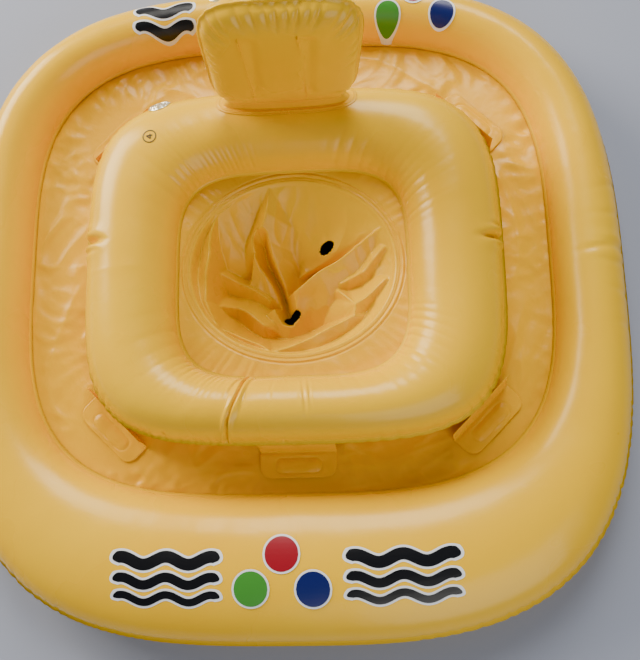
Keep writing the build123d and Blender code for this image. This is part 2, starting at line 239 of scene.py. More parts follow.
seatRing = {
    "inner": outline(seatX, 14, 133, 122, 4.0),
    "outer": outline(seatX, 27, 235, 204, 4.0),
    "midZ": seatLow.z, "halfHeight": seatHigh.z - seatLow.z - 0.6 * mm,
    "weld": 4 * mm, "innerWeld": 3 * mm,
    "steps": 760, "around": 92,
    "puckerPitch": 17 * mm, "puckerDepth": 3.0 * mm, "puckerReach": 0.5,
    "innerPuckerPitch": 11.5 * mm, "innerPuckerDepth": 2.3 * mm, "innerPuckerReach": 0.95,
    "wave": 0.8 * mm, "seed": 11.0,
    "creases": [(170.6, 1.7, 7.5, -0.3, 0.42), (173.6, 1.2, 2.5, -0.2, 0.36), (167.8, 1.0, 2.0, -0.2, 0.3),
                (6.2, 1.6, 7.5, -0.3, 0.42), (9.2, 1.1, 2.6, -0.2, 0.34), (3.0, 1.0, 2.0, -0.2, 0.3),
                (-111.0, 0.62, 7.0, -0.5, 1.0), (-109.3, 0.8, -1.6, 0.3, 1.0), (-114.2, 0.8, 1.6, 0.5, 1.0),
                (-84.5, 0.9, 1.6, 0.35, 0.95), (-81.5, 0.9, 1.4, 0.4, 0.95), (-98.0, 0.9, 0.9, 0.5, 0.95),
                (-128.0, 1.5, 3.0, -0.3, 0.2), (-93.0, 1.2, 2.0, -0.3, 0.12)],
}


def ringOrigin(ring):
    return (ring["outer"][0], ring["inner"][1])


def cornerWeight(angle):
    return blendRange(abs(sin(2 * angle)), 0.35, 0.95)


def tubePoint(ring, angle, section):
    # section is the turn round the tube: 0 at the outer seam, pi at the inner, + above
    angle = round(angle, 6)
    origin = ringOrigin(ring)
    near = reach(ring["inner"], origin, angle)
    far = reach(ring["outer"], origin, angle)
    half = (far - near) / 2
    middle = (far + near) / 2
    turn = abs(section)
    side = 1 if section >= 0 else -1
    step = 2 * pi / ring["around"]
    seed = ring["seed"]
    corner = cornerWeight(angle)
    along = angle * (far + 0.12) * 0.9  # near enough the length along the seam

    # the seam line wanders a little where the film is gathered
    place = along / ring["puckerPitch"]
    cell = floor(place)
    strength = 0.55 + 0.45 * rough(cell * 1.37, seed, 0.5)
    centre = 0.5 + 0.22 * rough(cell * 2.13, seed, 7.5)
    valley = max(0, 1 - abs(place - cell - centre) / 0.34) ** 1.4
    gather = valley * strength * (0.10 + 0.90 * corner) * ring["puckerDepth"]
    innerPlace = angle * (near + 0.05) / ring["innerPuckerPitch"]
    innerCell = floor(innerPlace)
    innerStrength = 0.5 + 0.6 * rough(innerCell * 1.71, seed, 3.5)
    innerCentre = 0.5 + 0.2 * rough(innerCell * 2.77, seed, 9.5)
    innerValley = max(0, 1 - abs(innerPlace - innerCell - innerCentre) / 0.36) ** 1.3
    innerGather = innerValley * innerStrength * corner * ring["innerPuckerDepth"]

    if turn < 0.5 * step:
        out, up = half + ring["weld"] - 0.7 * gather, 0.0
    elif turn < 1.5 * step:
        out, up = half - 0.8 * gather, 0.35 * mm
    elif turn > pi - 0.5 * step:
        out, up = -half - ring["innerWeld"], 0.0
    elif turn > pi - 1.5 * step:
        out, up = -half, 0.35 * mm
    else:
        arc = (turn - step) / (pi - 2 * step) * pi
        share = arc / pi
        fromOuter = exp(-(arc / ring["puckerReach"]) ** 2)
        fromInner = exp(-((pi - arc) / ring["innerPuckerReach"]) ** 2)
        bend = 1.0 - gather / half * fromOuter
        sink = innerGather * fromInner * (1 - exp(-((pi - arc) / 0.25) ** 2) * 0.6)
        for heading, width, depth, start, end in ring["creases"]:
            off = (angle - radians(heading) + pi) % (2 * pi) - pi
            if abs(off) > radians(width) * 4:
                continue
            if side < 0 and start >= 0:
                continue
            drift = radians(0.8) * rough(share * 3, heading, seed)
            groove = exp(-((off + drift) / radians(width * 0.55)) ** 2)
            groove -= 0.35 * exp(-((abs(off + drift) - radians(width) * 1.5) / radians(width)) ** 2)
            fade = 1 - blendRange(share, end * 0.45, end) if end < 1 else 1
            fade *= blendRange(share, start, start + 0.25) if start > 0 else 1
            sink += depth * mm * groove * fade
        swell = ring["wave"] * rough(along * 9, share * 2.2 * side, seed)
        swell += 0.35 * ring["wave"] * rough(along * 28, share * 4 * side, seed + 5)
        swell *= sin(arc)
        out = (half * bend + (swell - sink) * 0.9) * cos(arc)
        up = (ring["halfHeight"] + swell - sink) * sin(arc) ** 0.93 + 0.35 * mm
    distance = middle + out
    return Vector((origin[0] + distance * cos(angle), origin[1] + distance * sin(angle),
                   ring["midZ"] + side * up))


def makeTube(ring):
    bm = bmesh.new()
    turned = Matrix.Translation((1, 0, 0)) @ Matrix.Rotation(pi / 2, 4, "X")
    bmesh.ops.create_circle(bm, segments=ring["around"], radius=0.4, matrix=turned)
    bmesh.ops.spin(bm, geom=bm.verts[:] + bm.edges[:], cent=(0, 0, 0), axis=(0, 0, 1),
                   angle=2 * pi, steps=ring["steps"], use_merge=True)
    for vert in bm.verts:
        x, y, z = vert.co
        vert.co = tubePoint(ring, atan2(y, x), atan2(z, hypot(x, y) - 1))
    return bm


def valveAxis(number):
    # the middle of a valve's rim and its outward direction
    joint = next(j for j in frame["joints"] if j["name"] == f"valve{number}_pull")
    stem = [v.co for v in frame["nodes"][f"valve{number}_stem"].data.vertices]
    out = Vector(joint["axis"])
    centre = sum(stem, Vector()) / len(stem)
    top = max(v.co.dot(out) for v in frame["nodes"][f"valve{number}_base"].data.vertices)
    return centre + out * (top - centre.dot(out)), out


valveHole = {"radius": 11 * mm, "reach": 12 * mm}


def openValveHole(bm, number):
    # the film is cut away under the valve's rim
    centre, out = valveAxis(number)
    doomed = []
    for face in bm.faces:
        off = face.calc_center_median() - centre
        aside = (off - out * off.dot(out)).length
        if abs(off.dot(out)) < valveHole["reach"] and aside < valveHole["radius"]:
            doomed.append(face)
    bmesh.ops.delete(bm, geom=doomed, context="FACES")


outerMesh = makeTube(outerRing)
for number in (1, 2):
    openValveHole(outerMesh, number)
outerTree = BVHTree.FromBMesh(outerMesh)
outerPiece = addPiece("outer_ring_tube", outerMesh, tightVinyl, "float",
                      ["outer_ring_top_skin", "outer_ring_bottom_skin"])
print("outer ring tube made")

seatMesh = makeTube(seatRing)
openValveHole(seatMesh, 4)
seatTree = BVHTree.FromBMesh(seatMesh)
seatPiece = addPiece("seat_ring_tube", seatMesh, tightVinyl, "float",
                     ["seat_ring_top_skin", "seat_ring_bottom_skin"])
print("seat ring tube made")


def makeBand(cuts, steps):
    # a flat ring of faces: radius 1 to 2 becomes the share across, 0 to 1
    bm = bmesh.new()
    ends = [bm.verts.new((radius, 0, 0)) for radius in (1, 2)]
    edge = bm.edges.new(ends)
    bmesh.ops.subdivide_edges(bm, edges=[edge], cuts=cuts)
    bmesh.ops.spin(bm, geom=bm.verts[:] + bm.edges[:], cent=(0, 0, 0), axis=(0, 0, 1),
                   angle=2 * pi, steps=steps, use_merge=True)
    return bm


def bandPlace(vert):
    # the angle round a band, and the share across it
    x, y, z = vert.co
    return round(atan2(y, x), 6), min(1, max(0, hypot(x, y) - 1))


def thicken(piece, thickness):
    film = piece.modifiers.new("film thickness", "SOLIDIFY")
    film.thickness = thickness
    film.offset = 0


def facingPoint(edge, heading):
    # the point of an outline whose outward normal has this heading
    centreX, centreY, halfX, halfY, power = edge
    shareX = (halfX * abs(cos(heading))) ** (1 / (power - 1))
    shareY = (halfY * abs(sin(heading))) ** (1 / (power - 1))
    size = (shareX ** power + shareY ** power) ** (1 / power)
    sideX = 1 if cos(heading) > 0 else -1
    sideY = 1 if sin(heading) > 0 else -1
    return Vector((centreX + sideX * halfX * shareX / size, centreY + sideY * halfY * shareY / size, 0))


tabHeadings = {"front": -90, "rear": 90, "front_left": -135, "front_right": -45,
               "rear_left": 135, "rear_right": 45}
tabMiddles = {}
for place, heading in tabHeadings.items():
    out = Vector((cos(radians(heading)), sin(radians(heading)), 0))
    tabMiddles[place] = facingPoint(seatRing["outer"], radians(heading)) + out * 24 * mm

web = {
    "hole": outline(seatX, 18, 152, 136, 3.5), "inset": 1.5 * mm,
    "cuts": 74, "steps": 640,
    "billow": 2.6 * mm, "billowSize": 0.11,
    "fold": 4.2 * mm, "foldSize": 0.034,
    "crumple": 1.5 * mm, "crumpleSize": 0.016,
    "gather": 1.5 * mm, "gatherPitch": 13 * mm, "gatherReach": 0.16,
    "tabFold": 2.4 * mm, "tabFoldReach": 75 * mm, "tabFlat": 46 * mm, "tabCalm": (36 * mm, 62 * mm),
    "bend": 0.05, "thickness": 0.35 * mm,
}
webLow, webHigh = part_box("web_sheet")


def ridge(value):
    # sharp-topped folds from smooth noise
    return 1 - 2 * sqrt(abs(value) + 0.004)


def webPoint(angle, share):
    origin = ringOrigin(outerRing)
    far = reach(outerRing["inner"], origin, angle) - web["inset"]
    near = reach(web["hole"], origin, angle)
    distance = far + (near - far) * share
    x = origin[0] + distance * cos(angle)
    y = origin[1] + distance * sin(angle)
    bend = Vector((rough(x * 9, y * 9, 1), rough(x * 9, y * 9, 5), 0)) * web["bend"]
    px, py = x + bend.x, y + bend.y
    height = web["billow"] * rough(px / web["billowSize"], py / web["billowSize"], 2)
    # long folds run round the ring, so their noise is stretched along the angle
    across = distance / web["foldSize"]
    height += web["fold"] * ridge(rough(across * 0.62 + 3 * bend.x, angle * 3.1, 4)) * 0.5
    height += web["fold"] * 0.6 * ridge(rough(px / web["foldSize"], py / web["foldSize"], 8)) * 0.5
    height += web["crumple"] * rough(px / web["crumpleSize"], py / web["crumpleSize"], 12)
    seam = angle * far / web["gatherPitch"]
    height += web["gather"] * rough(seam, 0.4 * share, 15) * exp(-(share / web["gatherReach"]) ** 2)
    calm = 1.0
    for middle in tabMiddles.values():
        off = Vector((x, y, 0)) - middle
        near = exp(-((off.length - web["tabFlat"]) / web["tabFoldReach"]) ** 2)
        height += web["tabFold"] * near * ridge(rough(3.2 * atan2(off.y, off.x), middle.x * 9, 21)) * 0.5
        calm = min(calm, blendRange(off.length, *web["tabCalm"]))
    # the film is held down at the seam, under the tabs and under the seat ring
    underSeat = blendRange(reachShare(x, y), 0.86, 1.02)
    height *= blendRange(share, -0.02, 0.05) * calm * underSeat
    return Vector((x, y, (webLow.z + webHigh.z) / 2 + height))


def reachShare(x, y):
    # 1 on the seat ring's outer edge, less inside it
    centreX, centreY, halfX, halfY, power = seatRing["outer"]
    return (abs((x - centreX) / halfX) ** power + abs((y - centreY) / halfY) ** power) ** (1 / power)


webMesh = makeBand(web["cuts"], web["steps"])
for vert in webMesh.verts:
    vert.co = webPoint(*bandPlace(vert))
webPiece = addPiece("web_film", webMesh, slackVinyl, "float", ["web_sheet"])
thicken(webPiece, web["thickness"])
print("web film made")

collar = {
    "rim": outline(seatX, 22, 120, 104, 2.0), "inset": 1.0 * mm, "cuts": 70, "steps": 420,
    "top": seatRing["midZ"] - 0.9 * mm, "sag": 2.2 * mm,
    "welds": [3.5 * mm, 8.5 * mm], "weldWidth": 1.1 * mm, "weldDepth": 0.7 * mm,
    "bead": 0.7 * mm, "beadWidth": 1.6 * mm, "ripple": 0.5 * mm,
    "wrinkle": 1.5 * mm, "wrinklePitch": 8 * mm, "thickness": 0.35 * mm,
}


def collarPoint(angle, share):
    origin = (collar["rim"][0], collar["rim"][1])
    far = reach(seatRing["inner"], origin, angle) - collar["inset"]
    near = reach(collar["rim"], origin, angle)
    distance = far + (near - far) * share
    fromRim = distance - near
    height = -collar["sag"] * share
    pleats = rough(angle * far / collar["wrinklePitch"], 0.6 * share, 31)
    height += collar["wrinkle"] * pleats * (0.35 + 0.65 * cornerWeight(angle)) * (1 - share) ** 0.7
    height += collar["ripple"] * rough(angle * 9, share * 3, 35)
    for place in collar["welds"]:
        height -= collar["weldDepth"] * exp(-((fromRim - place) / collar["weldWidth"]) ** 2)
    betweenWelds = fromRim - sum(collar["welds"]) / 2
    height += collar["bead"] * exp(-(betweenWelds / collar["beadWidth"]) ** 2)
    return Vector((origin[0] + distance * cos(angle), origin[1] + distance * sin(angle),
                   collar["top"] + height))


collarMesh = makeBand(collar["cuts"], collar["steps"])
for vert in collarMesh.verts:
    vert.co = collarPoint(*bandPlace(vert))
collarPiece = addPiece("seat_collar_film", collarMesh, slackVinyl, "float", ["seat_collar"])
thicken(collarPiece, collar["thickness"])
print("collar made")

sling = {
    "segments": 204, "rimZ": collar["top"] - collar["sag"] - 0.2 * mm, "lowest": 5.0,
    "thickness": 0.35 * mm, "soft": 1.4, "bend": 4, "bendSize": 40,
    "waver": 4.0, "waverSize": 30, "crumple": 1.2, "crumpleSize": 19,
    # how steeply the film leaves the rim, by heading in degrees
    "walls": [(-180, 2.6), (-125, 2.4), (-90, 1.9), (-45, 1.5), (0, 1.0), (30, 0.55), (100, 0.6),
              (125, 1.3), (150, 2.2), (180, 2.6)],
    # crests of the collapsed film in mm from its middle and off the floor, with the fall
    # to the left and to the right of the way that they run
    "crests": [
        ([(-24, 102, 90), (-32, 69, 84), (-41, 44, 74)], 0.72, 1.1),
        ([(-12, -27, 54), (28, -3, 70), (66, 21, 80), (106, 46, 90)], 4.2, 0.62),
        ([(-40, -88, 80), (-26, -97, 84), (20, -83, 86), (69, -58, 80)], 3.2, 0.8),
        ([(69, -58, 80), (71, -46, 82), (52, -24, 62)], 2.0, 1.5),
        ([(-88, 66, 89), (-99, 33, 86), (-102, -34, 85), (-85, -66, 82), (-40, -88, 80)], 3.4, 0.9),
        ([(-88, 66, 89), (-56, 88, 88), (-24, 102, 90)], 0.9, 0.95),
        ([(-98, 8, 60), (-69, -4, 42), (-34, -24, 34)], 1.5, 1.2),
        ([(-92, -34, 54), (-72, -36, 42), (-38, -58, 50)], 1.1, 1.6),
        ([(-80, 50, 66), (-58, 28, 46), (-48, 6, 32)], 1.2, 1.1),
        ([(106, 20, 87), (82, -4, 74), (56, -14, 62)], 1.0, 0.9),
        ([(108, -20, 86), (88, -33, 78), (71, -46, 82)], 1.1, 1.2),
        ([(62, 84, 84), (46, 54, 63), (42, 36, 52)], 0.7, 0.8),
    ],
    "slit": ([(-40, 42, 34), (-31, 18, 18), (-21, -8, 9), (-7, -48, 4)], 4.2, 3.0),
    # where a leg hole shows between the folds: middle, half sizes and turn
    "holes": [((38, 31), (9.5, 6.5), 0.6), ((-6, -47), (6.5, 11.0), 1.9)],
}


def fromCrest(x, y, points, fallLeft, fallRight, sign=1):
    # the height that one crest (or with sign -1 one valley) gives at a place
    best = None
    for (ax, ay, az), (bx, by, bz) in zip(points, points[1:]):
        dx, dy = bx - ax, by - ay
        t = min(1, max(0, ((x - ax) * dx + (y - ay) * dy) / (dx * dx + dy * dy)))
        off = hypot(x - ax - t * dx, y - ay - t * dy)
        if best is None or off < best[0]:
            left = dx * (y - ay) - dy * (x - ax) > 0
            best = (off, az + t * (bz - az), fallLeft if left else fallRight)
    off, height, fall = best
    return height - sign * fall * off


def softMax(a, b, width):
    share = min(1, max(0, 0.5 + 0.5 * (a - b) / width))
    return b + (a - b) * share + width * share * (1 - share)


def wallFall(heading):
    for (low, first), (high, second) in zip(sling["walls"], sling["walls"][1:]):
        if heading <= high:
            return first + (second - first) * blendRange(heading, low, high)
    return sling["walls"][-1][1]


def slingPoint(across, along):
    # a square grid is drawn to the round rim, then falls from it and folds
    u = across * sqrt(1 - along * along / 2)
    v = along * sqrt(1 - across * across / 2)
    rimX, rimY, halfX, halfY, power = collar["rim"]
    x, y = u * halfX / mm, v * halfY / mm
    share = min(1, hypot(u, v))
    rimHeight = sling["rimZ"] / mm
    fromRim = (1 - share) * (halfX + halfY) / 2 / mm
    bentX = x + sling["bend"] * rough(x / sling["bendSize"], y / sling["bendSize"], 51)
    bentY = y + sling["bend"] * rough(x / sling["bendSize"], y / sling["bendSize"], 57)
    height = max(sling["lowest"], rimHeight - wallFall(degrees(atan2(v, u))) * fromRim)
    for points, left, right in sling["crests"]:
        height = softMax(height, fromCrest(bentX, bentY, points, left, right), sling["soft"])
    height = -softMax(-height, -fromCrest(bentX, bentY, *sling["slit"], sign=-1), 2 * sling["soft"])
    calm = 1 - blendRange(share, 0.86, 0.99)
    height += calm * sling["waver"] * rough(x / sling["waverSize"], y / sling["waverSize"], 61)
    fold = ridge(rough(x / sling["crumpleSize"], y / sling["crumpleSize"] / 2, 67))
    height += calm * sling["crumple"] * fold
    height = max(sling["lowest"], min(height, rimHeight + 1))
    height += (rimHeight - height) * blendRange(share, 0.95, 1.0)
    return Vector((rimX + x * mm, rimY + y * mm, height * mm))


slingMesh = bmesh.new()
bmesh.ops.create_grid(slingMesh, x_segments=sling["segments"], y_segments=sling["segments"], size=1)
for vert in slingMesh.verts:
    vert.co = slingPoint(vert.co.x, vert.co.y)
bmesh.ops.smooth_vert(slingMesh, verts=[v for v in slingMesh.verts if not v.is_boundary], factor=0.5,
                      use_axis_x=True, use_axis_y=True, use_axis_z=True)
doomed = []
for face in slingMesh.faces:
    middle = face.calc_center_median()
    for (holeX, holeY), (longHalf, shortHalf), holeTurn in sling["holes"]:
        offX = middle.x / mm - collar["rim"][0] / mm - holeX
        offY = middle.y / mm - collar["rim"][1] / mm - holeY
        along = offX * cos(holeTurn) + offY * sin(holeTurn)
        aside = offY * cos(holeTurn) - offX * sin(holeTurn)
        if hypot(along / longHalf, aside / shortHalf) < 1:
            doomed.append(face)
bmesh.ops.delete(slingMesh, geom=doomed, context="FACES")
slingArea = sum(face.calc_area() for face in slingMesh.faces)
slingPiece = addPiece("sling_film", slingMesh, slingVinyl, "float",
                      ["sling_wall", "sling_floor", "leg_hole_hem_left", "leg_hole_hem_right"])
thicken(slingPiece, sling["thickness"])
print("sling made, film area", round(slingArea, 4))

tab = {
    "halfWidth": 44 * mm, "corner": 14 * mm, "reach": 38 * mm, "lap": 2.5 * mm, "foot": 9 * mm,
    "weldHalf": 27 * mm, "weldRadius": 8.5 * mm, "weldAt": 24 * mm, "segments": (60, 64),
    "lift": 1.1 * mm, "thickness": 0.5 * mm, "belowSeam": 1.2 * mm, "slopeShare": 0.55,
    "wave": 1.1 * mm, "crumple": 0.6 * mm, "curl": 1.6 * mm, "curlWidth": 5 * mm,
    "weldDepth": 0.8 * mm, "weldWidth": 0.9 * mm, "crown": 1.1 * mm, "crownWidth": 6 * mm,
}


def tabPoint(across, along, heading, seed):
    # across is -1 to 1, along is 0 at the seat ring's seam and 1 at the tip
    out = Vector((cos(heading), sin(heading), 0))
    side = Vector((-sin(heading), cos(heading), 0))
    foot = facingPoint(seatRing["outer"], heading)
    top = seatRing["midZ"] - tab["belowSeam"]
    bottom = webHigh.z + tab["lift"]
    slopeShare = tab["slopeShare"]
    if along < slopeShare:
        t = along / slopeShare
        distance = tab["lap"] + (tab["foot"] - tab["lap"]) * t ** 1.5
        height = top + (bottom - top) * (1 - (1 - t) ** 1.6) ** 0.9
    else:
        t = (along - slopeShare) / (1 - slopeShare)
        distance = tab["foot"] + (tab["reach"] - tab["foot"]) * t
        height = bottom
    past = max(0, distance - (tab["reach"] - tab["corner"])) / tab["corner"]
    halfWidth = tab["halfWidth"] - tab["corner"] * (1 - sqrt(max(0, 1 - past * past)))
    x = across * halfWidth
    wave = tab["wave"] * rough(x * 34, distance * 34, seed)
    wave += tab["crumple"] * rough(x * 90, distance * 90, seed)
    height += (wave + tab["crumple"]) * blendRange(distance, tab["foot"], tab["foot"] + 4 * mm)
    tip = blendRange(distance, tab["reach"] - tab["curlWidth"], tab["reach"])
    height += tab["curl"] * tip * abs(rough(x * 30, seed, 2))
    # an oblong weld line with a soft crown inside it
    offX = max(0, abs(x) - (tab["weldHalf"] - tab["weldRadius"]))
    fromLine = hypot(offX, distance - tab["weldAt"]) - tab["weldRadius"]
    flat = blendRange(distance, tab["foot"], tab["foot"] + 3 * mm)
    height -= tab["weldDepth"] * exp(-(fromLine / tab["weldWidth"]) ** 2) * flat
    height += tab["crown"] * blendRange(-fromLine, 0.5 * mm, tab["crownWidth"]) * flat
    return foot + out * distance + side * x + Vector((0, 0, height))


for index, (place, heading) in enumerate(tabHeadings.items()):
    tabMesh = bmesh.new()
    bmesh.ops.create_grid(tabMesh, x_segments=tab["segments"][0], y_segments=tab["segments"][1], size=1)
    for vert in tabMesh.verts:
        vert.co = tabPoint(vert.co.x, (vert.co.y + 1) / 2, radians(heading), index * 4.7)
    tabPiece = addPiece(f"anchor_tab_film_{place}", tabMesh, slackVinyl, "float",
                        [f"anchor_tab_{place}"])
    thicken(tabPiece, tab["thickness"])
print("tabs made")

backLow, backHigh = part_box("backrest_front_skin")
backrest = {
    "middleX": (backLow.x + backHigh.x) / 2, "seamY": 205 * mm,
    "halfWidth": (backHigh.x - backLow.x) / 2, "bottom": backLow.z, "top": backHigh.z,
    "power": 4.2, "footPower": 6.5, "seam": 4 * mm, "seamHalf": 0.5 * mm, "depth": 24 * mm,
    "roundness": 2.6, "fullness": 0.36, "wave": 0.9 * mm,
    "lean": 14 * mm, "narrow": 0.045, "around": 300, "over": 150,
    # heading round the seam in degrees, half width, depth in mm, length as a share
    "puckers": [(64, 1.5, 3.0, 0.30), (70, 1.1, 2.2, 0.22), (77, 1.4, 3.4, 0.34), (84, 1.2, 2.6, 0.28),
                (92, 1.5, 3.2, 0.32), (99, 1.2, 2.2, 0.24), (108, 1.4, 2.8, 0.28), (117, 1.6, 3.0, 0.26),
                (44, 2.0, 5.0, 0.34), (51, 1.4, 2.6, 0.26), (37, 1.4, 3.0, 0.28), (136, 2.0, 5.0, 0.36),
                (128, 1.4, 2.8, 0.26), (144, 1.5, 3.2, 0.28), (8, 1.6, 2.0, 0.2), (-6, 1.6, 1.8, 0.2),
                (20, 1.4, 1.8, 0.2), (172, 1.6, 2.0, 0.2), (186, 1.6, 1.8, 0.2), (160, 1.4, 1.8, 0.2),
                (-44, 1.8, 3.6, 0.3), (-136, 1.8, 3.6, 0.3), (-70, 1.4, 2.0, 0.2), (-90, 1.6, 2.0, 0.22),
                (-110, 1.4, 2.0, 0.2)],
    "grooveSpan": 28.5 * mm, "grooveTop": 0.62, "grooveWidth": 6 * mm, "grooveDepth": 2.6 * mm,
    "grooveLift": 4 * mm,
}


def backrestPoint(direction):
    # direction on a unit sphere whose poles face front and back
    x, y, z = direction
    heading = atan2(z, x)
    tilt = hypot(x, z)
    share = 1 - sqrt(1 - tilt) if abs(y) > 1e-6 and tilt < 1 else 1
    side = -1 if y < 0 else 1
    halfHeight = (backrest["top"] - backrest["bottom"]) / 2
    power = backrest["power"] if z > 0 else backrest["footPower"]
    c, s = abs(cos(heading)) / backrest["halfWidth"], abs(sin(heading)) / halfHeight
    edge = (c ** power + s ** power) ** (-1 / power)
    inner = (edge - backrest["seam"]) / edge
    into = min(1, share / inner)
    crown = (1 - into ** backrest["roundness"]) ** backrest["fullness"] if into < 1 else 0
    sink = 0.0
    pull = 0.0
    for at, width, depth, length in backrest["puckers"]:
        off = (heading - radians(at) + pi) % (2 * pi) - pi
        if abs(off) > radians(width) * 4:
            continue
        shape = exp(-(off / radians(width)) ** 2)
        fade = blendRange(into, 1 - length, 0.97)
        sink += depth * mm * shape * fade * 0.9
        pull += depth * mm * shape * blendRange(into, 0.8, 1.0) * 0.25
    plan = share * edge - pull
    planX = plan * cos(heading)
    planZ = plan * sin(heading)
    for groove in (-1, 1):
        offX = planX - groove * backrest["grooveSpan"]
        run = 1 - blendRange(abs(planZ - backrest["grooveLift"]),
                             backrest["grooveTop"] * halfHeight * 0.8,
                             backrest["grooveTop"] * halfHeight)
        sink += backrest["grooveDepth"] * run * exp(-(offX / backrest["grooveWidth"]) ** 2)
    swell = backrest["wave"] * rough(planX * 16, planZ * 16, side * 3.0)
    depth = backrest["seamHalf"] + crown * backrest["depth"] + min(1, 3 * crown) * (swell - sink)
    up = (planZ + halfHeight) / (2 * halfHeight)
    planX *= 1 - backrest["narrow"] * (1 - up)
    return Vector((backrest["middleX"] + planX + backrest["lean"] * up,
                   backrest["seamY"] + side * max(depth, backrest["seamHalf"] * 0.6),
                   backrest["bottom"] + halfHeight + planZ))


backMesh = bmesh.new()
bmesh.ops.create_uvsphere(backMesh, u_segments=backrest["around"], v_segments=backrest["over"], radius=1,
                          matrix=Matrix.Rotation(pi / 2, 4, "X"))
for vert in backMesh.verts:
    vert.co = backrestPoint(vert.co)
openValveHole(backMesh, 3)
backTree = BVHTree.FromBMesh(backMesh)
backPiece = addPiece("backrest_cushion", backMesh, tightVinyl, "backrest",
                     ["backrest_front_skin", "backrest_back_skin"])
print("backrest made")

base = {
    "halfWidth": 80 * mm, "halfDepth": 21 * mm, "narrow": 0.10, "shallow": 0.42, "power": 3.0,
    "lift": 0.7 * mm, "thickness": 0.5 * mm, "bead": 0.6 * mm, "beadAt": 0.42, "wrinkle": 0.4 * mm,
    "gussetFoot": (72, 13.5), "gussetTop": (58, 15), "gussetTuck": 1.5 * mm, "gussetRise": 15 * mm,
}


def filmTop(tree, x, y, lift):
    # the top of the film right under a point, and a little above it
    spot, normal = tree.ray_cast(Vector((x, y, 0.4)), Vector((0, 0, -1)))[:2]
    return spot + (normal if normal.z > 0 else -normal) * lift


def besideSeam(distance, angle):
    # a place in plan at this distance and angle from the middle of the backrest's seam
    return backrest["middleX"] + distance * cos(angle), backrest["seamY"] + distance * sin(angle)


flangeMesh = makeBand(22, 220)
for vert in flangeMesh.verts:
    angle, share = bandPlace(vert)
    halfX = base["halfWidth"] * (1 - base["narrow"] * share)
    halfY = base["halfDepth"] * (1 - base["shallow"] * share)
    place = outline(0, 0, halfX / mm, halfY / mm, base["power"])
    x, y = besideSeam(reach(place, (0, 0), angle), angle)
    vert.co = filmTop(seatTree, x, y, base["lift"])
    vert.co.z += base["bead"] * exp(-((share - base["beadAt"]) / 0.12) ** 2)
    vert.co.z += base["wrinkle"] * rough(angle * 14, share, 41)
flangePiece = addPiece("backrest_base_film", flangeMesh, slackVinyl, "float",
                       ["backrest_base_flange"])
thicken(flangePiece, base["thickness"])

skirtMesh = makeBand(26, 220)
for vert in skirtMesh.verts:
    angle, share = bandPlace(vert)
    foot = reach(outline(0, 0, *base["gussetFoot"], base["power"]), (0, 0), angle)
    top = reach(outline(0, 0, *base["gussetTop"], base["power"]), (0, 0), angle)
    x, y = besideSeam(foot + (top - foot) * share - base["gussetTuck"] * sin(pi * share), angle)
    low = filmTop(seatTree, x, y, base["lift"]).z
    high = backrest["bottom"] + base["gussetRise"]
    vert.co = (x, y, low + (high - low) * share)
skirtPiece = addPiece("backrest_base_gusset", skirtMesh, slackVinyl, None)
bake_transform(skirtPiece)
thicken(skirtPiece, base["thickness"])
print("backrest base made")

valve = {
    "around": 96, "hugFrom": 10.6 * mm, "hugFull": 13 * mm, "hugLift": 0.8 * mm,
    # the rim's section in mm: from the axis, and up from the film
    "section": [(6.1, -15), (6.1, -14), (9.5, -14), (9.5, -0.6), (9.9, 0.6), (10.6, 0.9), (11.4, 0.7),
                (12.2, 0.35), (13.4, 0.3), (14.0, 0.0), (14.0, -0.6), (10.9, -0.9), (10.5, -1.5),
                (10.5, -15)],
}
valveHosts = {1: (outerTree, "float"), 2: (outerTree, "float"), 3: (backTree, "backrest"),
              4: (seatTree, "float")}


def makeValveRim(number):
    # a soft moulded rim that hugs the film, with a cup that the stem sinks into
    tree, body = valveHosts[number]
    centre, out = valveAxis(number)
    bm = bmesh.new()
    points = [bm.verts.new((radius * mm, 0, height * mm)) for radius, height in valve["section"]]
    for first, second in zip(points, points[1:] + points[:1]):
        bm.edges.new((first, second))
    bmesh.ops.spin(bm, geom=bm.verts[:] + bm.edges[:], cent=(0, 0, 0), axis=(0, 0, 1),
                   angle=2 * pi, steps=valve["around"], use_merge=True)
    turned = out.to_track_quat("Z", "Y").to_matrix().to_4x4()
    for vert in bm.verts:
        radius = hypot(vert.co.x, vert.co.y)
        vert.co = centre + turned @ vert.co
        if radius > 11 * mm:
            hit = tree.ray_cast(vert.co + out * 20 * mm, -out)[0]
            if hit:
                drop = (hit - centre).dot(out)
                hug = blendRange(radius, valve["hugFrom"], valve["hugFull"])
                vert.co += out * (drop + valve["hugLift"]) * hug
    addPiece(f"valve{number}_rim", bm, valveVinyl, body, [f"valve{number}_base"])


for number in valveHosts:
    makeValveRim(number)
print("valve rims made")


def layRibbon(name, tree, line, widthAt, ink, lift, count=120, across=8):
    # a printed shape is a ribbon on the film: a middle line, a half width along it, an ink
    bm = bmesh.new()
    bmesh.ops.create_grid(bm, x_segments=count, y_segments=across, size=1)
    for vert in bm.verts:
        t = (vert.co.x + 1) / 2
        here = line(t)
        ahead = line(min(1, t + 0.002)) - line(max(0, t - 0.002))
        side = Vector((-ahead.y, ahead.x)).normalized()
        spot = here + side * vert.co.y * widthAt(t)
        vert.co = filmTop(tree, spot.x, spot.y, lift)
    addPiece(name, bm, inks[ink], "float")


def waveLine(start, end, height, waves):
    start, end = Vector(start), Vector(end)
    up = Vector((-(end - start).y, (end - start).x)).normalized()
    return lambda t: start + (end - start) * t + up * height * sin(2 * pi * waves * t)


def taper(width, tip):
    return lambda t: max(0.05 * mm, width * min(1, (min(t, 1 - t) / tip)) ** 0.5)


def roundShape(radius):
    return lambda t: max(0.02 * mm, radius * sqrt(max(0, 1 - (2 * t - 1) ** 2)))


